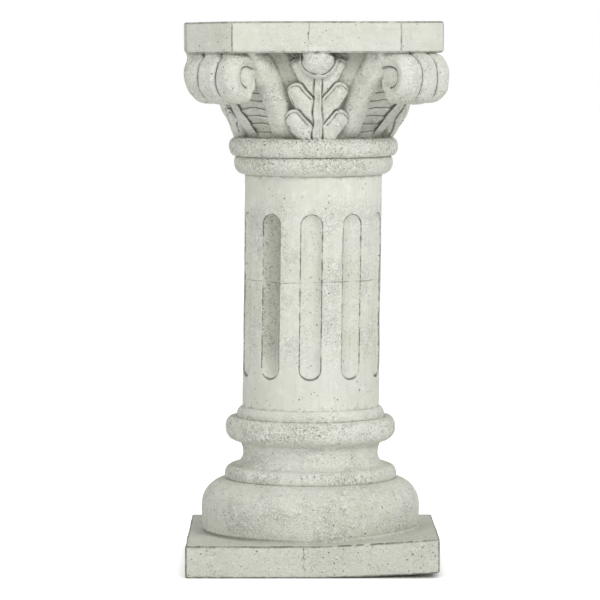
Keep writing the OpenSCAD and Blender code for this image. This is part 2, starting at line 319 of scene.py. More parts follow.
def stalk_field(size, out, side, z):
    """A broad stalk with raised borders and a sunk strip that is crossed by overlapping plates."""
    rise = bell_rise(size, z, 0.0, 1.0)
    half_width = (39 + 13 * np.sin(0.5 * math.pi * rise ** 0.7)) * MM
    strip_half = (STRIP_FOOT + STRIP_SPREAD * np.minimum(rise / 0.4, 1.2)) * MM
    face = (out - stalk_face(size, z)) * 0.82
    shoulder = (20 - 13 * smooth_step(0.45, 0.85, rise)) * MM
    stalk = common(face, side - half_width, shoulder)
    along_plate = ((z - size.bell_foot + PLATE_TILT * side) / PLATE_STEP) % 1.0
    plate_relief = 1.9 * MM * along_plate * (1 - smooth_step(0.84, 1.0, along_plate))
    strip_floor = face + 4.6 * MM - plate_relief
    strip = common(side - strip_half, -strip_floor, 0.8 * MM)
    strip = common(strip, z - size.bell_foot - STRIP_TOP, 6 * MM)
    return cut(stalk, strip, 0.8 * MM)


def volute_polar(size, out, z):
    """Distance from a volute's axis, the turn about it in degrees, the roll's radius and the loose curl's."""
    across = out - size.volute_reach
    up = z - size.volute_height
    turn = np.degrees(np.arctan2(up, across))
    turn = np.where(turn < -100, turn + 360, turn)
    radius = size.volute_radius + 2 * MM * np.cos(np.radians(turn))
    curl = np.interp(turn, (122, 150, 180, 230, 270, 315), (13.6, 15.0, 17.5, 23.5, 29.5, 33.5)) * MM
    return np.hypot(across, up), turn, radius, curl


def volute_field(size, out, side, z):
    """A roll with three ribs, whose outer ribs round over to a face that is dished round a domed eye."""
    reach, turn, radius, curl = volute_polar(size, out, z)
    loose = smooth_step(150, 190, turn)
    end_radius = radius * (1 - loose) + curl * loose
    half = size.volute_length / 2
    round_over = 17 * MM
    outer = np.hypot(np.maximum(side - (half - round_over), 0),
                     np.maximum(reach - (end_radius - round_over), 0)) - round_over
    inner_rib = np.hypot(np.maximum(side - 10.5 * MM, 0), np.maximum(reach - (radius - 4 * MM), 0)) - 5 * MM
    roll = union(outer, inner_rib, 1.5 * MM)
    valley = np.hypot(side - VALLEY_SIDE, reach - (radius + 3.4 * MM)) - 4.8 * MM
    roll = cut(roll, valley, 2 * MM)
    dish = half - 6.5 * MM + 0.55 * np.maximum(reach - EYE_RADIUS, 0) - side
    roll = cut(roll, dish * 0.88, 3 * MM)
    eye = np.sqrt(reach ** 2 + (side - half + 6.5 * MM + 27 * MM) ** 2) - 29 * MM
    return union(roll, np.maximum(eye, reach - EYE_RADIUS + 1.6 * MM), 0.8 * MM)


def volute_lines(size, out, side, z):
    """The lines that are cut between the ribs, round the eye and on along the loose curl."""
    reach, turn, radius, curl = volute_polar(size, out, z)
    between_ribs = np.hypot(side - VALLEY_SIDE, reach - (radius - 1.4 * MM)) - 1.6 * MM
    line_radius = EYE_RADIUS + (curl - EYE_RADIUS) * smooth_step(96, 122, turn)
    line_depth = size.volute_length / 2 - 6.2 * MM + 0.5 * (line_radius - EYE_RADIUS)
    spiral = np.hypot(reach - line_radius, np.minimum(side - line_depth, 0)) - 1.7 * MM
    closed = (1 - smooth_step(-104, -84, turn)) + smooth_step(128, 150, turn)
    beyond_column = smooth_step(30 * MM, 36 * MM, side)
    spiral = spiral + (closed + 1 - beyond_column) * 3 * MM
    return np.minimum(between_ribs, spiral)


def leaf_face(size, side, z):
    """Distance from the axis to the leaf's face: it leans out like the bell and curves round it."""
    return (LEAF_OUT + LEAF_LEAN * (z - size.bell_foot) / MM) * MM - side ** 2 / LEAF_CURVE


def leaf_field(size, out, side, z):
    """Half a leaf: spoon-shaped lobes that hook upwards inside turned-up rims, on a web with a midrib."""
    height = z - size.bell_foot
    face = (out - leaf_face(size, side, z)) * 0.91
    web_half = (25 - 10 * np.clip((height - 15 * MM) / (70 * MM), 0, 1)) * MM
    leaf = common(side - web_half, face + 3.4 * MM, 3 * MM)
    for foot_side, foot_height, reach, foot_radius, tip_radius, lean, hook in reversed(LOBES):
        tilt = math.radians(lean)
        from_side = side - foot_side * MM
        from_foot = height - foot_height * MM
        along = from_side * math.sin(tilt) + from_foot * math.cos(tilt)
        across = from_side * math.cos(tilt) - from_foot * math.sin(tilt)
        part = np.clip(along / (reach * MM), 0.0, 1.0)
        across = across + hook * MM * part ** 2
        width = (foot_radius + (tip_radius - foot_radius) * part) * MM
        outline = np.hypot(across, along - part * reach * MM) - width
        fade = smooth_step(0.15, 0.5, part)
        leaf = cut(leaf, common(outline - 2.4 * MM * fade, -(face + 6 * MM), 1 * MM), 1 * MM)
        rim = common(outline, face + 1.8 * MM, 2 * MM)
        pillow = np.hypot(across - RIM_SIDE, along - part * reach * MM + RIM_BACK) - width + RIM_WIDTH
        belly = np.hypot(np.maximum(pillow + 9 * MM, 0), np.maximum(face + 7.6 * MM, 0)) - 9 * MM
        crease = np.hypot(pillow - 0.5 * MM, face + 1.9 * MM) - 1.5 * MM * fade
        lobe = union(cut(rim, crease, 0.6 * MM), belly, 0.5 * MM)
        leaf = union(leaf, lobe, 0.8 * MM)
    midrib_half = (MIDRIB_FOOT - MIDRIB_TAPER * np.clip(height / MIDRIB_TOP, 0, 1)) * MM
    beside = np.hypot(side - midrib_half - 1.0 * MM, face + 0.2 * MM) - 1.9 * MM
    leaf = cut(leaf, beside, 1 * MM)
    midrib = common(side - midrib_half, face - 1.4 * MM, 1.5 * MM)
    channel = common(side - midrib_half * 0.5, -(face + 0.4 * MM), 0.8 * MM)
    midrib = cut(common(midrib, height - 86 * MM, 4 * MM), channel, 0.6 * MM)
    leaf = union(leaf, midrib, 0.6 * MM)
    return np.maximum(np.maximum(leaf, 55 * MM - out), -height - 2 * MM)


def bud_field(size, out, side, z):
    """The round bud under the slab, in its cup."""
    middle = size.height - size.slab_height - BUD_DROP
    bud = ellipsoid(out - 149 * MM, side, z - middle, 19 * MM, size.bud_radius, 18 * MM)
    cup = ellipsoid(out - 143 * MM, side, z - middle, 19 * MM, size.bud_radius + 5 * MM, 24 * MM)
    cup = cut(cup, common(bud - 1.2 * MM, 149 * MM - out, 1 * MM), 0.6 * MM)
    return union(cup, bud, 0.5 * MM)


def ellipsoid(x, y, z, half_x, half_y, half_z):
    stretched = np.sqrt((x / half_x) ** 2 + (y / half_y) ** 2 + (z / half_z) ** 2)
    return (stretched - 1) * min(half_x, half_y, half_z)


def capital_field(size, x, y, z):
    """Stalks, volutes, leaves and buds of one quarter of the capital."""
    out_corner = (x + y) / math.sqrt(2)
    side_corner = np.abs(x - y) / math.sqrt(2)
    out_face = np.maximum(x, y)
    side_face = np.minimum(x, y)
    corner = union(stalk_field(size, out_corner, side_corner, z),
                   volute_field(size, out_corner, side_corner, z), 2.5 * MM)
    corner = cut(corner, volute_lines(size, out_corner, side_corner, z), 0.6 * MM)
    face = union(leaf_field(size, out_face, side_face, z), bud_field(size, out_face, side_face, z), 1.5 * MM)
    slab_middle = size.height - size.slab_height / 2
    return np.maximum(union(corner, face, 1 * MM), z - slab_middle)


def flute_field(size, x, y, z):
    """The nearest flute's cutter: an upright round-ended bar that bites into the shaft's face."""
    step = 2 * math.pi / size.flute_count
    angle = np.arctan2(y, x) + math.pi / 2 - size.flute_turn
    angle = (angle + step / 2) % step - step / 2
    radius = np.hypot(x, y)
    half = size.flute_width / 2
    edge = math.sqrt(size.shaft_radius ** 2 - half ** 2)
    bite = edge - (size.shaft_radius - size.flute_depth)
    bar = (half ** 2 + bite ** 2) / (2 * bite)
    middle = size.shaft_radius - size.flute_depth + bar
    beyond = z - np.clip(z, size.flute_foot + half, size.flute_head - half)
    flat = (radius * np.cos(angle) - middle) ** 2 + (radius * np.sin(angle)) ** 2
    return np.sqrt(flat + beyond ** 2) - bar


# --------------------------------------------------------------------------------------------------
# From field to mesh
# --------------------------------------------------------------------------------------------------

def mirrored(quarter_block):
    """The whole block from the quarter with x and y from 0 up."""
    half_block = np.concatenate([quarter_block[:0:-1], quarter_block], axis=0)
    return np.concatenate([half_block[:, :0:-1], half_block], axis=1)


def casting_field(size, voxel):
    """The whole casting's field on a grid, and the grid's lowest corner."""
    reach = math.ceil((size.slab_width / 2 + 10 * MM) / voxel)
    half_axis = (np.arange(reach + 1) * voxel).astype(np.float32)
    heights = (np.arange(-4, math.ceil(size.height / voxel) + 5) * voxel).astype(np.float32)
    x, y, z = half_axis[:, None, None], half_axis[None, :, None], heights[None, None, :]
    body = turned_field(size, np.hypot(x, y)[:, :, 0], heights)
    body = union(body, plinth_field(size, x, y, z), 1.5 * MM)
    first = int(np.searchsorted(heights, size.bell_foot - 6 * MM))
    top = z[:, :, first:]
    capital = union(body[:, :, first:], capital_field(size, x, y, top), 0.8 * MM)
    body[:, :, first:] = union(capital, slab_field(size, x, y, top), 1 * MM)
    field = mirrored(body)
    axis = np.concatenate([-half_axis[:0:-1], half_axis])
    low, high = np.searchsorted(heights, [size.flute_foot - 10 * MM, size.flute_head + 10 * MM])
    flutes = flute_field(size, axis[:, None, None], axis[None, :, None], heights[None, None, low:high])
    field[:, :, low:high] = cut(field[:, :, low:high], flutes, 0.8 * MM)
    return field, Vector((axis[0], axis[0], heights[0]))


def chip_edges(size, field, corner, voxel):
    """Knocks small chips out of the edges of the plinth and the slab."""
    chance = np.random.default_rng(17)
    half_plinth, half_slab = size.plinth_side / 2, size.slab_width / 2
    straight = half_slab - size.corner_cut
    slab_low = size.height - size.slab_height
    edges = ((half_plinth, half_plinth, 0.0, 6), (half_plinth, half_plinth, size.plinth_height, 12),
             (half_slab, straight, slab_low, 7), (half_slab, straight, size.height, 6))
    for edge_half, run, level, count in edges:
        for face in range(4):
            for _ in range(count):
                place = chance.uniform(-run, run)
                radius = chance.uniform(2.5, 8) * MM
                offset = radius * chance.uniform(0.72, 0.9)
                up = -offset if level in (0.0, slab_low) else offset
                spot = Vector((place, -(edge_half + offset * 0.55), level + up * 0.55))
                turn = face * math.pi / 2
                spot = Vector((spot.x * math.cos(turn) - spot.y * math.sin(turn),
                               spot.x * math.sin(turn) + spot.y * math.cos(turn), spot.z))
                carve_ball(field, corner, voxel, spot, radius)
    return field


def carve_ball(field, corner, voxel, centre, radius):
    """Takes a ball out of the field, touching only the grid near it."""
    reach = radius + 3 * voxel
    low = [max(0, int((c - o - reach) / voxel)) for c, o in zip(centre, corner)]
    high = [min(n, int((c - o + reach) / voxel) + 2) for c, o, n in zip(centre, corner, field.shape)]
    if any(a >= b for a, b in zip(low, high)):
        return
    x, y, z = np.ix_(*(np.arange(a, b) * voxel + o - c for a, b, o, c in zip(low, high, corner, centre)))
    block = tuple(slice(a, b) for a, b in zip(low, high))
    ball = (np.sqrt(x ** 2 + y ** 2 + z ** 2) - radius).astype(np.float32)
    field[block] = cut(field[block], ball, 1.2 * MM)


def surface_of(field, corner, voxel):
    """Points and four-cornered faces of the field's zero surface."""
    band = 4 * voxel
    grid = openvdb.FloatGrid(band)
    grid.copyFromArray(np.ascontiguousarray(np.clip(field, -band, band)), tolerance=0.0)
    points, quads = grid.convertToQuads(0.0)
    return points * voxel + np.array(corner), quads


def blended(block, base, part):
    """Value of a block of numbers at base + part, blended from the eight cells round it."""
    value = np.zeros(len(base))
    for step in np.ndindex(2, 2, 2):
        weight = np.prod(np.where(np.array(step) == 1, part, 1 - part), axis=1)
        value += weight * block[tuple((base + step).T)]
    return value


def wobble(points, step, seed):
    """Smooth noise from -1 to 1 at the points, with swells about step apart."""
    below, above = 0.25, np.array((0.25, 0.25, 0.80))
    cell = (points + below) / step
    base = np.floor(cell).astype(int)
    part = cell - base
    lattice = np.random.default_rng(seed).uniform(-1, 1, ((above + below) / step).astype(int) + 3)
    return blended(lattice, base, part * part * (3 - 2 * part))


def triples(items, name):
    """Three numbers for each item, such as its place."""
    values = np.zeros(len(items) * 3)
    items.foreach_get(name, values)
    return values.reshape(-1, 3)


def warp(size, points):
    """How far each point moves: the casting leans, its carving is uneven, its slab sags at one end, the
    stalks bulge on one side, and the plinth is turned a little and lifts at one corner."""
    x, y, z = points.T
    half = size.plinth_side / 2
    plinth_top = size.plinth_height
    slab_low = size.height - size.slab_height
    in_slab = smooth_step(slab_low - 30 * MM, slab_low, z)
    lift = np.interp(z, (0, plinth_top, 82 * MM), (1, 1.45, 0))
    corner = np.clip(x / half, 0, 1) ** 1.3 * np.clip(0.5 - 0.5 * y / half, 0, 1)
    sag = np.clip(-x / (size.slab_width / 2), 0, 1) ** 3 * in_slab
    rise = np.clip((z - size.bell_foot) / (70 * MM), 0, 1)
    bulge = np.sin(math.pi * rise) * smooth_step(85 * MM, 115 * MM, x)
    foot = 1 - smooth_step(plinth_top + 1 * MM, plinth_top + 5 * MM, z)
    cosine, sine = math.cos(size.plinth_turn), math.sin(size.plinth_turn)
    carved = smooth_step(size.bell_foot, size.bell_foot + 8 * MM, z)
    carved = carved * (1 - smooth_step(slab_low - 8 * MM, slab_low, z))
    lean_heights = (plinth_top, plinth_top + 6 * MM, 180 * MM, size.neck_foot,
                    slab_low - 5 * MM, slab_low - 1 * MM)
    moves = np.stack([1.2 * MM * carved * wobble(points, 14 * MM, seed) for seed in (21, 22, 23)], axis=1)
    moves[:, 0] += size.lean * np.interp(z, lean_heights, (0, 0.42, 0.42, 1, 1, 0.55))
    moves[:, 0] += foot * (x * cosine - y * sine - x - half * sine - 1.2 * MM) + 4 * MM * bulge
    moves[:, 1] += foot * (x * sine + y * cosine - y)
    moves[:, 2] += size.corner_lift * corner * lift - 1.9 * MM * sag + 0.4 * MM * in_slab
    return moves


def roughen(size, mesh):
    """The unevenness of a hand-finished casting: broad swells, small dabs and the warp of the whole."""
    points = triples(mesh.vertices, "co")
    height = points[:, 2]
    slab_low = size.height - size.slab_height
    swell = 0.5 * MM * wobble(points, 45 * MM, 3) + 0.3 * MM * wobble(points, 17 * MM, 5)
    in_capital = smooth_step(size.bell_foot - 6 * MM, size.bell_foot, height)
    in_capital *= 1 - smooth_step(slab_low - 4 * MM, slab_low + 2 * MM, height)
    dabs = (0.12 + 0.2 * in_capital) * MM * wobble(points * (1, 1, 0.7), 7 * MM, 8)
    relief = (swell + dabs) * np.where(height > size.height - 1 * MM, 0.3, 1.0)
    moved = points + triples(mesh.vertex_normals, "vector") * relief[:, None] + warp(size, points)
    mesh.vertices.foreach_set("co", moved.ravel())
    mesh.update()


def field_at(field, corner, voxel, points):
    """The field between its grid points. Past the grid's edge the way back to it is added."""
    place = (points - np.array(corner)) / voxel
    held = np.clip(place, 0, np.array(field.shape) - 1.001)
    base = held.astype(int)
    return blended(field, base, held - base) + np.linalg.norm(place - held, axis=1) * voxel


def bend(field, corner, voxel, points, normals, step):
    """How the surface turns within step of each point: above 0 over an edge, below 0 in a crease."""
    upright = np.where(np.abs(normals[:, 2:]) < 0.8, (0.0, 0.0, 1.0), (1.0, 0.0, 0.0))
    across = np.cross(normals, upright)
    across /= np.maximum(np.linalg.norm(across, axis=1), 1e-6)[:, None]
    along = np.cross(normals, across)
    level = field_at(field, corner, voxel, points)
    total = np.zeros(len(points))
    for direction in (across, -across, along, -along):
        total += field_at(field, corner, voxel, points + step * direction) - level
    return total / (4 * step)


def mark_surface(size, mesh, field, corner, voxel):
    """Stores on the points their place before the warp (rest), where the wash settles (crease), what stands
    proud in the carving, with a painted highlight on the bud (rim), and painted shade on the bell behind
    the leaves, deeper under the slab (shade)."""
    warped = triples(mesh.vertices, "co")
    points = warped
    for _ in range(3):
        points = warped - warp(size, points)
    normals = triples(mesh.vertex_normals, "vector")
    fine = bend(field, corner, voxel, points, normals, 2.2 * MM)
    wide = bend(field, corner, voxel, points, normals, 4 * MM)
    x, y, z = points.T
    out, side = np.maximum(np.abs(x), np.abs(y)), np.minimum(np.abs(x), np.abs(y))
    slab_low = size.height - size.slab_height
    carved = (z > size.bell_foot) & (z < slab_low - 3 * MM)
    in_capital = (z > size.bell_foot + 1 * MM) & (z < slab_low + 0.5 * MM)
    near_slab = smooth_step(slab_low - 34 * MM, slab_low - 4 * MM, z)
    behind = 1 - smooth_step(1 * MM, 9 * MM, np.hypot(x, y) - bell_radius(size, z))
    off_bud = np.hypot(side, z - slab_low + BUD_DROP) / size.bud_radius
    on_bud = smooth_step(1.1, 0.9, off_bud) * (out > 140 * MM)
    proud = np.clip(np.maximum(fine, wide), 0, 1) * carved
    values = {"crease": np.clip(-np.minimum(fine, wide * 0.9), 0, 1),
              # rim: dry brush on the raised carving, plus a painted highlight over the bud.
              "rim": np.maximum(proud, 0.25 * on_bud),
              # shade: painted shade on the bell behind the leaves, deeper under the slab.
              "shade": behind * (0.45 + 0.55 * near_slab) * in_capital}
    for name, value in values.items():
        stored_values = mesh.attributes.new(name, "FLOAT", "POINT")
        stored_values.data.foreach_set("value", value.astype(np.float32))
    rest = mesh.attributes.new("rest", "FLOAT_VECTOR", "POINT")
    rest.data.foreach_set("vector", points.astype(np.float32).ravel())


def with_fewer_faces(size, piece, most):
    """Collapses the mesh to at most that many triangles, keeping more of them in the carved capital."""
    heights = triples(piece.data.vertices, "co")[:, 2]
    plain = piece.vertex_groups.new(name="plain")
    carved = (heights > size.bell_foot - 2 * MM) & (heights < size.height - size.slab_height)
    plain.add(np.flatnonzero(~carved).tolist(), 1.0, "REPLACE")
    plain.add(np.flatnonzero(carved).tolist(), 0.6, "REPLACE")
    fewer = piece.modifiers.new("Fewer Faces", "DECIMATE")
    fewer.ratio = min(1.0, most / (2 * len(piece.data.polygons)))
    fewer.vertex_group = "plain"
    fewer.vertex_group_factor = 3e-6
    depsgraph = bpy.context.evaluated_depsgraph_get()
    result = bpy.data.meshes.new_from_object(piece.evaluated_get(depsgraph))
    piece.modifiers.clear()
    piece.vertex_groups.clear()
    piece.data = result


# --------------------------------------------------------------------------------------------------
# Materials
# --------------------------------------------------------------------------------------------------

class Value:
    """A value in a node tree. It adds, multiplies and so on like a plain number, by making the nodes."""

    def __init__(self, socket):
        self.socket = socket
        self.tree = socket.id_data

    def __add__(self, other):
        return calc("ADD", self, other)

    def __sub__(self, other):
        return calc("SUBTRACT", self, other)

    def __rsub__(self, other):
        return calc("SUBTRACT", other, self)

    def __mul__(self, other):
        return calc("MULTIPLY", self, other)

    def __truediv__(self, other):
        return calc("DIVIDE", self, other)

    def __abs__(self):
        return calc("ABSOLUTE", self)

    __radd__ = __add__
    __rmul__ = __mul__


def add(tree, kind, inputs=(), **settings):
    """A node with its settings and inputs. An input is a Value, or a plain number, vector or colour."""
    node = tree.nodes.new(kind)
    for name, value in settings.items():
        setattr(node, name, value)
    for key, value in dict(inputs).items():
        if isinstance(value, Value):
            tree.links.new(value.socket, node.inputs[key])
        else:
            node.inputs[key].default_value = value
    return node


def made(tree, kind, inputs=(), out=0, **settings):
    """One output of a new node."""
    return Value(add(tree, kind, inputs, **settings).outputs[out])


def calc(operation, *values):
    tree = next(value.tree for value in values if isinstance(value, Value))
    return made(tree, "ShaderNodeMath", enumerate(values), operation=operation)


def largest(*values):
    return reduce(lambda a, b: calc("MAXIMUM", a, b), values)


def smallest(*values):
    return reduce(lambda a, b: calc("MINIMUM", a, b), values)


def length_of(a, b):
    """Length of the vector (a, b)."""
    return calc("SQRT", a * a + b * b)


def parts(vector, kind="ShaderNodeSeparateXYZ"):
    return [Value(socket) for socket in add(vector.tree, kind, {0: vector}).outputs]


def clamped(value):
    return made(value.tree, "ShaderNodeClamp", {"Value": value})


def ramp(value, low, high, to_low=0.0, to_high=1.0):
    """value from low to high, taken smoothly to to_low to to_high and held there."""
    return made(value.tree, "ShaderNodeMapRange",
                {"Value": value, "From Min": low, "From Max": high, "To Min": to_low, "To Max": to_high},
                out="Result", interpolation_type="SMOOTHSTEP")


def only_where(mask, *limits):
    """The mask, kept where each limit's value is past its high and faded to nothing at its low."""
    for value, low, high in limits:
        mask = mask * ramp(value, low, high)
    return mask


def noise(place, scale, detail=3.0, roughness=0.55):
    return made(place.tree, "ShaderNodeTexNoise",
                {"Vector": place, "Scale": scale, "Detail": detail, "Roughness": roughness}, out="Fac")


def mix(share, first, second):
    return made(share.tree, "ShaderNodeMix", {"Factor": share, "A": first, "B": second}, out="Result",
                data_type="RGBA")


def line(away, width):
    """1 where away is 0, down to 0 at width."""
    return ramp(away / width, 1.0, 0.35)


def broken_line(place, away, width, least=0.2):
    """A line that wavers a little and fades in places to its least strength."""
    waver = (noise(place, 130.0, 4.0, 0.7) - 0.5) * LINE_WAVER
    present = ramp(noise(place, 60.0, 4.0, 0.7), 0.36, 0.54, least, 1.0)
    return line(waver + away, width) * present


def new_group(name, **inputs):
    """An empty node group and its inputs. An input is a vector where its default is None."""
    tree = bpy.data.node_groups.new(name, "ShaderNodeTree")
    for label, default in inputs.items():
        kind = "NodeSocketVector" if default is None else "NodeSocketFloat"
        socket = tree.interface.new_socket(label, in_out="INPUT", socket_type=kind)
        if default is not None:
            socket.default_value = default
    given = add(tree, "NodeGroupInput").outputs
    return tree, [Value(given[label]) for label in inputs]


def with_outputs(tree, **values):
    """The node group, once it puts out these values."""
    for label in values:
        tree.interface.new_socket(label, in_out="OUTPUT", socket_type="NodeSocketFloat")
    add(tree, "NodeGroupOutput", values)
    return tree


def placed(group, vector, **inputs):
    """What the group puts out by name, for this vector and these inputs."""
    node = add(vector.tree, "ShaderNodeGroup", {"Vector": vector, **inputs}, node_tree=group)
    return {socket.name: Value(socket) for socket in node.outputs}


def casting_pits_group():
    """Round pinholes of mixed sizes that air left in the casting."""
    tree, (place, scale, radius, share) = new_group(
        "Casting Pits", Vector=None, Scale=90.0, Size=0.16, Share=0.3)
    cells = add(tree, "ShaderNodeTexVoronoi", {"Vector": place, "Scale": scale}).outputs
    chance, spread = parts(Value(cells["Color"]), "ShaderNodeSeparateColor")[:2]
    distance = Value(cells["Distance"]) + (noise(place, 160.0, 2.0) - 0.5) * 0.2
    likely = share * ramp(noise(place, 14.0, 2.0), 0.35, 0.7, 0.25, 1.8)
    hole = ramp(distance / (radius * (spread * 0.8 + 0.35)), 1.0, 0.55)
    return with_outputs(tree, Mask=hole * calc("LESS_THAN", chance, likely))


def brush_dabs_group():
    """The worm-like ridges left by stippling thick paint."""
    tree, (place, scale) = new_group("Brush Dabs", Vector=None, Scale=130.0)
    sway = made(tree, "ShaderNodeTexNoise", {"Vector": place, "Scale": 60.0, "Detail": 2.0}, out="Color")
    sway = made(tree, "ShaderNodeVectorMath", {0: sway, 1: (0.012, 0.012, 0.012)}, operation="MULTIPLY")
    swayed = made(tree, "ShaderNodeVectorMath", {0: place, 1: sway}, operation="ADD")
    ridge = 1.0 - abs(noise(swayed, scale, 1.0, 0.5) - 0.5) * 7.0
    return with_outputs(tree, Height=largest(ridge, 0.0))


def hairline_group():
    """A crack that wanders along the surface where Offset is 0, thinner and broken in places."""
    tree, (place, offset, wander, width) = new_group(
        "Hairline Crack", Vector=None, Offset=0.0, Wander=0.01, Width=0.0008)
    away = abs((noise(place, 28.0, 4.0, 0.7) - 0.5) * wander + offset)
    present = ramp(noise(place, 55.0, 3.0), 0.42, 0.56, 0.15, 1.0)
    return with_outputs(tree, Mask=ramp(away / width, 1.0, 0.3) * present)


def block_edges_group():
    """Dark lines along the edges of a square block with cut corners, the upright ones thinner by Upright."""
    tree, (place, half, corner_cut, low, high, width, thinner) = new_group(
        "Block Edges", Vector=None, Half=0.1, Cut=0.0, Low=0.0, High=0.1, Width=0.0012, Upright=0.0)
    x, y, z = parts(place)
    x, y = abs(x), abs(y)
    off_side = largest(x, y) - half
    straight = half - corner_cut
    outside = largest(off_side, (x + y - (half + straight)) * math.sqrt(0.5))
    upright = length_of(off_side, smallest(x, y) - straight) + (thinner + largest(low - z, 0.0))
    away = smallest(upright, length_of(outside, z - high), length_of(outside, z - low))
    return with_outputs(tree, Mask=broken_line(place, away, width, 0.55))


def flute_outline_group(size):
    """A thin line round every flute, thick at its lower end."""
    tree, (place, width) = new_group("Flute Outlines", Vector=None, Width=0.0009)
    x, y, z = parts(place)
    step = 2 * math.pi / size.flute_count
    angle = calc("ARCTAN2", y, x) + (math.pi / 2 - size.flute_turn)
    across = calc("WRAP", angle, step / 2, -step / 2) * size.shaft_radius
    half = size.flute_width / 2
    held = largest(smallest(z, size.flute_head - half), size.flute_foot + half)
    away = length_of(across, z - held) - half
    inside = ramp(away, 0.5 * MM, -1.5 * MM)
    foot = ramp(z, size.flute_foot + 9 * MM, size.flute_foot + 1 * MM)
    width = width * (foot * 1.1 + 1.0)
    away = abs(foot * MM + away)
    mask = largest(broken_line(place, away, width), line(away, width) * foot)
    return with_outputs(tree, Mask=mask, Inside=inside)


def corner_parts(place):
    """Distance out along the nearest diagonal, distance to the side of it, and height."""
    x, y, z = parts(place)
    x, y = abs(x), abs(y)
    return (x + y) * math.sqrt(0.5), abs(x - y) * math.sqrt(0.5), z


def stalk_lines_group(size):
    """Lines along the stalks' borders and across them between the plates."""
    tree, (place, width) = new_group("Stalk Lines", Vector=None, Width=0.0008)
    out, side, z = corner_parts(place)
    rise = z - size.bell_foot
    spread = smallest(rise / (0.4 * (size.height - size.slab_height - size.bell_foot)), 1.2)
    beyond = side - (spread * (STRIP_SPREAD * MM) + STRIP_FOOT * MM)
    plate = calc("FRACT", (side * PLATE_TILT + rise) / PLATE_STEP)
    rungs = line(abs(plate - 0.95) * PLATE_STEP, width) * ramp(beyond, 0.0, -1 * MM)
    mask = only_where(largest(line(abs(beyond), width), rungs), (rise, 2 * MM, 6 * MM),
                      (rise, STRIP_TOP, STRIP_TOP - 4 * MM), (rise * -0.86 + out, 101 * MM, 97 * MM))
    return with_outputs(tree, Mask=mask)


def volute_lines_group(size):
    """Lines between a volute's ribs and round its eye."""
    tree, (place, width) = new_group("Volute Lines", Vector=None, Width=0.0014)
    out, side, z = corner_parts(place)
    out, up = out - size.volute_reach, z - size.volute_height
    reach = length_of(out, up)
    turn = calc("ARCTAN2", up, out)
    on_roll = only_where(1.0, (reach, 26 * MM, 28 * MM), (reach, 41 * MM, 39 * MM), (out, -24 * MM, -18 * MM))
    on_face = only_where(1.0, (side, 28 * MM, 31 * MM), (turn, -1.9, -1.5), (turn, 2.7, 2.3))
    rib = abs(side - VALLEY_SIDE) + (1.0 - on_roll)
    eye = abs(reach - (EYE_RADIUS + 0.4 * MM)) + (1.0 - on_face)
    return with_outputs(tree, Mask=broken_line(place, smallest(rib, eye), width, 0.4))


def leaf_lines_group(size):
    """Lines round the leaves' lobes, inside their rims and beside the midribs, and painted shade in the
    recess under the slab by the bud.
    """
    tree, (place, width) = new_group("Leaf Lines", Vector=None, Width=0.0009)
    x, y, z = parts(place)
    x, y = abs(x), abs(y)
    out, side = largest(x, y), smallest(x, y)
    height = z - size.bell_foot
    slab_low = size.height - size.slab_height
    away = 1.0
    for foot_side, foot_height, reach, foot_radius, tip_radius, lean, hook in reversed(LOBES):
        tilt = math.radians(lean)
        from_side, from_foot = side - foot_side * MM, height - foot_height * MM
        along = from_side * math.sin(tilt) + from_foot * math.cos(tilt)
        across = from_side * math.cos(tilt) - from_foot * math.sin(tilt)
        part = clamped(along / (reach * MM))
        across = across + part * part * (hook * MM)
        radius = part * ((tip_radius - foot_radius) * MM) + foot_radius * MM
        beyond = along - part * (reach * MM)
        outline = length_of(across, beyond) - radius
        pillow = length_of(across - RIM_SIDE, beyond + RIM_BACK) - radius + (RIM_WIDTH - 0.5 * MM)
        inner = largest(abs(pillow) + ramp(part, 0.45, 0.15, 0.0, 4 * MM), outline + 1.5 * MM)
        away = smallest(largest(away, outline * -1.0), abs(outline), inner)
    off_midrib = side - MIDRIB_FOOT * MM + clamped(height / MIDRIB_TOP) * (MIDRIB_TAPER * MM)
    beside = largest(abs(off_midrib - 1 * MM), height - (MIDRIB_TOP - 2 * MM))
    away = smallest(largest(away, off_midrib * -1.0), beside)
    face = out - LEAF_OUT * MM - height * LEAF_LEAN + side * side * (1 / LEAF_CURVE)
    off_bud = length_of(side / (size.bud_radius + 5 * MM), (z - (slab_low - BUD_DROP)) / (25 * MM))
    under_slab = slab_low - z
    mask = only_where(broken_line(place, away, width), (face, -6 * MM, -4 * MM), (height, 0.0, 2 * MM),
                      (off_bud, 0.95, 1.05), (under_slab, 0.0, 2 * MM))
    # Painted shade in the recess under the slab beside the bud.
    recess = ramp(noise(place, 260.0, 3.0, 0.7), 0.36, 0.56, 0.35, 1.0)
    recess = only_where(recess, (under_slab, -1 * MM, 1 * MM), (under_slab, 12 * MM, 8 * MM),
                        (side, 15 * MM, 21 * MM), (side, 44 * MM, 36 * MM), (out, 162 * MM, 150 * MM))
    return with_outputs(tree, Mask=mask, Recess=recess)


def crevice_group():
    """How sheltered a spot is, from ambient occlusion: 0 on open faces, 1 deep in a cut. Wash and grime
    collect there, and it also paints shade into the hollows and under the slab.
    """
    tree, (place, distance, low, high, breakup) = new_group(
        "Sheltered Hollows", Vector=None, Distance=0.01, Low=0.3, High=0.9, Breakup=0.3)
    open_sky = made(tree, "ShaderNodeAmbientOcclusion", {"Distance": distance}, out="AO", samples=8,
                    only_local=True)
    patchy = (noise(place, 110.0, 4.0) - 0.5) * breakup
    return with_outputs(tree, Mask=ramp(1.0 - open_sky + patchy, low, high))


def rgba(rgb):
    return (*rgb, 1.0)


def stored(tree, name, out="Fac"):
    """A value that is stored on the mesh's points."""
    return made(tree, "ShaderNodeAttribute", out=out, attribute_name=name)


def new_material(name):
    material = bpy.data.materials.new(name)
    material.use_nodes = True
    material.node_tree.nodes.clear()
    return material, material.node_tree


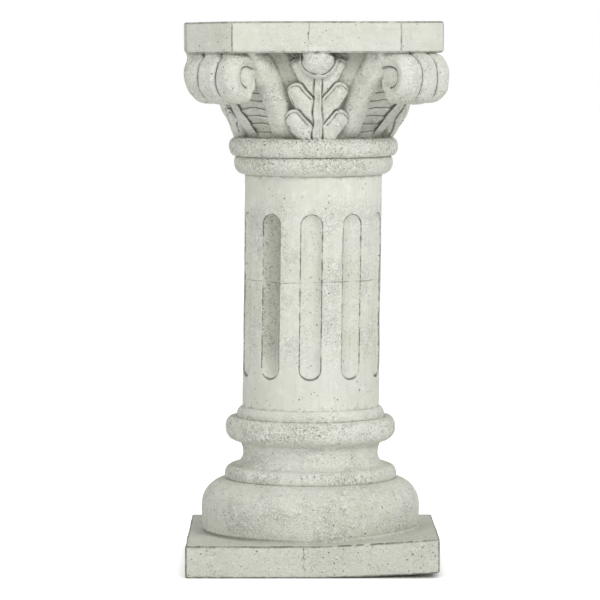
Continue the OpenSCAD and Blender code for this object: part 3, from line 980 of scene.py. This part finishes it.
def stone_surface(tree, colour_now, coats, height, depth, strength, finish):
    """A rough surface in colour_now under the coats, each a share and a colour, with height as its relief."""
    for share, coat in coats:
        colour_now = mix(share, colour_now, rgba(coat))
    bump = made(tree, "ShaderNodeBump", {"Height": height, "Distance": depth, "Strength": strength})
    shader = made(tree, "ShaderNodeBsdfPrincipled", {"Base Color": colour_now, "Normal": bump, **finish})
    add(tree, "ShaderNodeOutputMaterial", {"Surface": shader})


def painted_stone(size, colours, groups):
    """Cream paint, whiter where brushed again, with a grey-green wash in the hollows and dark creases,
    painted shade in the hollows, behind the leaves, under the slab, between the dabs and in the left front
    flutes, and painted highlights on the dab ridges and the bud.
    """
    material, tree = new_material("Painted cast stone")
    place = made(tree, "ShaderNodeTexCoord", out="Object")
    rest = stored(tree, "rest", "Vector")
    across, depth, level = parts(rest)
    upright_place = made(tree, "ShaderNodeMapping", {"Vector": place, "Scale": (1.0, 1.0, 0.08)})
    level_place = made(tree, "ShaderNodeMapping", {"Vector": place, "Scale": (0.12, 0.12, 1.0)})
    plinth_top = size.plinth_height
    slab_low = size.height - size.slab_height
    bell_foot = size.bell_foot

    # Where on the column a point lies.
    on_shaft = ramp(level, 200 * MM, 215 * MM) * ramp(level, 525 * MM, 515 * MM)
    on_slab = ramp(level, slab_low - 2 * MM, slab_low + 2 * MM)
    on_plinth = ramp(level, plinth_top + 3 * MM, plinth_top - 1 * MM)
    on_rings = 1.0 - on_shaft - on_slab
    in_capital = ramp(level, bell_foot - 4 * MM, bell_foot + 2 * MM)
    fluted = ramp(level, 245 * MM, 300 * MM) * ramp(level, 510 * MM, 460 * MM)
    flutes = placed(groups.flutes, rest)
    in_flute = flutes["Inside"] * fluted
    smooth = largest(on_plinth, on_slab)
    ringed = largest(*(ramp(level, low, low + 4 * MM) * ramp(level, high, high - 4 * MM) for low, high in
                       (BEAD_BAND, UPPER_RING_BAND, (size.neck_foot, bell_foot + 2 * MM))))
    seam = ramp(level, bell_foot - 8 * MM, bell_foot - 4 * MM)
    seam = seam * ramp(level, bell_foot + 5 * MM, bell_foot + 2 * MM)
    # Painted shade: the flutes on the column's left front, away from the key light, get more wash and specks.
    shaded_side = ramp(across, -15 * MM, -40 * MM) * ramp(across, -82 * MM, -68 * MM)
    shaded_side = shaded_side * ramp(depth, 0.0, -20 * MM)

    # Brush marks, grain and patches of the paint.
    dabs = placed(groups.dabs, place, Scale=300.0)["Height"]
    grain = noise(place, 800.0, 3.0, 0.7)
    mottle = noise(place, 90.0, 5.0, 0.65)
    cloud = noise(place, 9.0, 3.0, 0.6)
    cool = noise(place, 13.0, 3.0, 0.6)
    patches = ramp(noise(place, 21.0, 4.0, 0.7), 0.36, 0.62)
    patchy = (smooth * -0.6 + fluted * 0.9 + (1.0 - on_shaft)) * (in_flute * -0.7 + 1.0)
    dabbed = largest(patches * patchy, on_rings * 0.4 - smooth * 0.1)
    # Wash between the dabs, partly painted shade of the stipple relief.
    wash_and_shade_between_dabs = ramp(dabs, 0.14, 0.0) * (ringed * 0.26 + 0.12) * dabbed
    streak = mix(on_shaft, noise(level_place, 150.0, 4.0, 0.65), noise(upright_place, 170.0, 4.0, 0.65))

    # Pits, specks, cracks and dark lines.
    small_pits = placed(groups.pits, place, Scale=260.0, Size=0.30, Share=0.10)["Mask"]
    large_pits = placed(groups.pits, place, Scale=95.0, Size=0.13, Share=on_plinth * 0.30 + 0.13)["Mask"]
    pits = largest(small_pits, large_pits)
    speckled = largest(ringed, in_flute * 0.6, patches * 0.3 + on_rings * 0.4, seam)
    # More specks in the flutes on the shaded left front: partly painted shade.
    fine = noise(place, 430.0, 3.0, 0.65) + seam * 0.05 + shaded_side * in_flute * 0.065
    specks = ramp(fine, 0.58, 0.65) * speckled * ramp(mottle, 0.40, 0.56, 0.15, 1.0)
    shaft_crack = placed(groups.cracks, place, Offset=level - SHAFT_CRACK)["Mask"] * (on_shaft * 0.7)
    end_crack = placed(groups.cracks, place, Offset=across - END_CRACK, Wander=0.03)["Mask"]
    side_crack = placed(groups.cracks, place, Offset=across - SIDE_CRACK, Wander=0.06)["Mask"] * on_plinth
    ends = largest(ramp(level, plinth_top, plinth_top - 1 * MM), ramp(level, slab_low, slab_low + 1 * MM))
    front_cracks = largest(end_crack, side_crack) * ends * ramp(depth, -150 * MM, -160 * MM)
    leaves = placed(groups.leaves, rest)
    slab_edges = placed(groups.edges, rest, Half=size.slab_width / 2, Cut=size.corner_cut, Low=slab_low,
                        High=size.height, Width=3.0 * MM, Upright=1.0 * MM)
    plinth_edges = placed(groups.edges, rest, Half=size.plinth_side / 2, High=plinth_top, Width=3.1 * MM)
    lines = (slab_edges, plinth_edges, flutes, placed(groups.stalks, rest), placed(groups.volutes, rest),
             leaves)
    drawn = largest(shaft_crack, front_cracks, *(outputs["Mask"] for outputs in lines))

    # Where wash and grime settle, and where shade and highlights are painted.
    # Partly real wash, partly painted shade in the hollows, round the bud and under the slab.
    hollows = placed(groups.hollows, place, Distance=34 * MM, Low=0.32, High=1.0, Breakup=0.15)["Mask"]
    crease = ramp(stored(tree, "crease") + (mottle - 0.5) * 0.50, 0.08, 0.28)
    crease = crease * ramp(in_capital, 0.0, 1.0, 0.42, 0.36)
    crease = crease * ramp(level, plinth_top + 2 * MM, plinth_top + 14 * MM, 0.25, 1.0)
    crease = crease * ramp(abs(level - (size.neck_foot + 24 * MM)), 3 * MM, 8 * MM, 0.45, 1.0)
    rim = ramp(stored(tree, "rim"), 0.08, 0.30)

    paint = mix(ramp(cloud, 0.35, 0.65), rgba(colours.paint), rgba(colours.aged_paint))
    coats = (
        (ramp(cool, 0.48, 0.64, 0.0, 0.5), colours.cool_paint),
        (ramp(mottle, 0.50, 0.72, 0.0, 0.5), colours.dry_brush_and_highlight),
        (ramp(streak, 0.50, 0.70, 0.0, 0.10), colours.wash_and_shade),
        (ramp(grain, 0.56, 0.72, 0.0, 0.20), colours.wash_and_shade),
        # White dry brush on the dab ridges, partly a painted highlight of the stipple relief.
        (ramp(dabs, 0.45, 0.85, 0.0, 0.9) * dabbed, colours.dry_brush_and_highlight),
        (wash_and_shade_between_dabs, colours.wash_and_shade),
        # Darker towards the bottom.
        (ramp(level, 160 * MM, 20 * MM, 0.0, 0.14), colours.wash_and_shade),
        (smooth * 0.07, colours.wash_and_shade),
        # Wash in the flutes, thicker on the left front as painted shade.
        (in_flute * (shaded_side * 0.36 + 0.04), colours.wash_and_shade),
        (hollows * 0.50, colours.wash_and_shade),
        # Painted shade on the bell behind the leaves and under the slab.
        (stored(tree, "shade") * 0.53, colours.wash_and_shade),
        # Dry brush on the raised carving, and a painted highlight on the bud.
        (rim * 0.45, colours.dry_brush_and_highlight),
        (crease, colours.grime_and_shade),
        # Painted shade with grime in the recess by the bud.
        (leaves["Recess"] * 0.75, colours.grime_and_shade),
        (drawn * 0.72, colours.grime_and_shade),
        (specks * 0.62, colours.grime_and_shade),
        (pits * 0.75, colours.grime_and_shade),
    )
    relief = dabs * (dabbed * 0.80 + 0.06) + grain * 0.14 + mottle * 0.30 + streak * 0.16
    relief = relief - drawn * 0.5 - specks * 0.4 - pits * 0.6
    stone_surface(tree, paint, coats, relief, 1.3 * MM, 0.9,
                  {"Roughness": ramp(mottle, 0.3, 0.7, 0.72, 0.86), "Specular IOR Level": 0.3})
    return material


def bare_underside(colours, groups):
    """Unpainted cement where the casting stood on its mould board."""
    material, tree = new_material("Bare cement underside")
    place = made(tree, "ShaderNodeTexCoord", out="Object")
    grain = noise(place, 420.0, 5.0, 0.7)
    stain = noise(place, 14.0, 4.0, 0.6)
    pits = placed(groups.pits, place, Scale=120.0, Size=0.24, Share=0.35)["Mask"]
    coats = (
        (ramp(stain, 0.35, 0.7, 0.0, 0.45), colours.wash_and_shade),
        (ramp(grain, 0.5, 0.8, 0.0, 0.3), colours.paint),
        (pits * 0.6, colours.grime_and_shade),
    )
    stone_surface(tree, rgba(colours.bare_cement), coats, grain - pits * 0.8, 1 * MM, 0.7,
                  {"Roughness": ramp(grain, 0.3, 0.7, 0.85, 0.95)})
    return material


def leave_underside_bare(piece):
    """Gives the faces that look straight down at the floor the piece's second material."""
    underside = 6 * MM
    for face in piece.data.polygons:
        if face.center.z < underside and face.normal.z < -0.8:
            face.material_index = 1


# --------------------------------------------------------------------------------------------------
# Operators
# --------------------------------------------------------------------------------------------------

class COLUMN_OT_casting(Operator):
    """Sculpt the whole column as one painted casting"""
    bl_idname = "column.casting"
    bl_label = "Build Casting"

    def execute(self, context):
        size = context.scene.column_sizes
        colours = context.scene.column_paint
        voxel = size.voxel * 1.0
        field, corner = casting_field(size, voxel)
        chip_edges(size, field, corner, voxel)
        points, quads = surface_of(field, corner, voxel)
        mesh = bpy.data.meshes.new("column_casting")
        mesh.from_pydata(points.tolist(), [], quads[:, ::-1].tolist())
        roughen(size, mesh)
        piece = bpy.data.objects.new("column_casting", mesh)
        context.scene.collection.objects.link(piece)
        with_fewer_faces(size, piece, MOST_TRIANGLES)
        mark_surface(size, piece.data, field, corner, voxel)
        piece.data.polygons.foreach_set("use_smooth", [True] * len(piece.data.polygons))
        groups = SimpleNamespace(pits=casting_pits_group(), dabs=brush_dabs_group(), cracks=hairline_group(),
                                 edges=block_edges_group(), flutes=flute_outline_group(size),
                                 stalks=stalk_lines_group(size), volutes=volute_lines_group(size),
                                 leaves=leaf_lines_group(size), hollows=crevice_group())
        piece.data.materials.append(painted_stone(size, colours, groups))
        piece.data.materials.append(bare_underside(colours, groups))
        leave_underside_bare(piece)
        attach(piece, "root")
        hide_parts("column")
        return {"FINISHED"}


class COLUMN_OT_stage(Operator):
    """Make the white floor, the studio light and the camera"""
    bl_idname = "column.stage"
    bl_label = "Build Stage"

    def execute(self, context):
        scene = context.scene
        floor = bpy.data.objects.new("floor", bpy.data.meshes.new("floor"))
        half = 12.0
        corners = [(-half, -half, 0), (half, -half, 0), (half, half, 0), (-half, half, 0)]
        floor.data.from_pydata(corners, [], [(0, 1, 2, 3)])
        floor.data.materials.append(floor_material())
        scene.collection.objects.link(floor)
        white_world(scene)
        soft_light(scene, "key", Vector((1.95, -2.75, 2.2)), diameter=1.0, watts=50)
        soft_light(scene, "fill", Vector((-1.7, -2.9, 1.2)), diameter=1.8, watts=19)
        look_at_column(scene)
        scene.view_settings.view_transform = "Standard"
        return {"FINISHED"}


def floor_material():
    """White paper that glows white to the camera, with a painted contact shadow: the glow fades by ambient
    occlusion wherever something stands close over it, so the paper's own shading shows there.
    """
    material, tree = new_material("White floor")
    seen = made(tree, "ShaderNodeLightPath", out="Is Camera Ray")
    open_sky = made(tree, "ShaderNodeAmbientOcclusion", {"Distance": 45 * MM}, out="AO", samples=16)
    paper = made(tree, "ShaderNodeBsdfDiffuse", {"Color": (0.9, 0.9, 0.9, 1)})
    white = made(tree, "ShaderNodeEmission", {"Color": (1, 1, 1, 1), "Strength": 1.66})
    # Painted contact shadow: less glow where the floor is occluded.
    share = seen * ramp(open_sky, 0.28, 0.88, 0.0, 0.56)
    shader = made(tree, "ShaderNodeMixShader", {0: share, 1: paper, 2: white})
    add(tree, "ShaderNodeOutputMaterial", {"Surface": shader})
    return material


def white_world(scene):
    """A room that lights the column softly and is plain white to the camera."""
    world = bpy.data.worlds.new("Studio")
    world.use_nodes = True
    tree = world.node_tree
    tree.nodes.clear()
    seen = made(tree, "ShaderNodeLightPath", out="Is Camera Ray")
    room, white = (made(tree, "ShaderNodeBackground", {"Color": (1, 1, 1, 1), "Strength": strength})
                   for strength in (0.65, 1.0))
    shader = made(tree, "ShaderNodeMixShader", {0: seen, 1: room, 2: white})
    add(tree, "ShaderNodeOutputWorld", {"Surface": shader})
    scene.world = world


def soft_light(scene, name, place, diameter, watts):
    data = bpy.data.lights.new(name, "AREA")
    data.shape = "DISK"
    data.size = diameter
    data.energy = watts
    lamp = bpy.data.objects.new(name, data)
    lamp.location = place
    column_middle = Vector((0, 0, 0.36))
    lamp.rotation_euler = (column_middle - place).to_track_quat("-Z", "Y").to_euler()
    scene.collection.objects.link(lamp)


def look_at_column(scene):
    """A long lens from a little above the column's top, turned slightly off the front."""
    turn, down = math.radians(2.3), math.radians(4.107)
    distance, sideways, height = 5.18, -0.0108, 0.722
    back = Vector((-math.sin(turn), -math.cos(turn), 0))
    right = Vector((math.cos(turn), -math.sin(turn), 0))
    data = bpy.data.cameras.new("camera")
    data.lens = 234
    camera = bpy.data.objects.new("camera", data)
    camera.location = back * distance + right * sideways + Vector((0, 0, height))
    ahead = -back * math.cos(down) + Vector((0, 0, -math.sin(down)))
    camera.rotation_euler = ahead.to_track_quat("-Z", "Y").to_euler()
    scene.collection.objects.link(camera)
    scene.camera = camera


class COLUMN_PT_sidebar(Panel):
    """The column's sizes, colours and build steps"""
    bl_idname = "COLUMN_PT_sidebar"
    bl_label = "Garden Column Pedestal"
    bl_space_type = "VIEW_3D"
    bl_region_type = "UI"
    bl_category = "Column"

    def draw(self, context):
        for group in (context.scene.column_sizes, context.scene.column_paint):
            box = self.layout.box()
            for name in group.__annotations__:
                box.prop(group, name)
        for operator in OPERATORS:
            self.layout.operator(operator.bl_idname)


OPERATORS = (COLUMN_OT_casting, COLUMN_OT_stage)
CLASSES = (ColumnSizes, PaintColours, *OPERATORS, COLUMN_PT_sidebar)


def register():
    for cls in CLASSES:
        bpy.utils.register_class(cls)
    bpy.types.Scene.column_sizes = PointerProperty(type=ColumnSizes)
    bpy.types.Scene.column_paint = PointerProperty(type=PaintColours)


def unregister():
    del bpy.types.Scene.column_sizes
    del bpy.types.Scene.column_paint
    for cls in reversed(CLASSES):
        bpy.utils.unregister_class(cls)


def main():
    register()
    bpy.ops.column.casting()
    bpy.ops.column.stage()


if __name__ == "__main__":
    main()
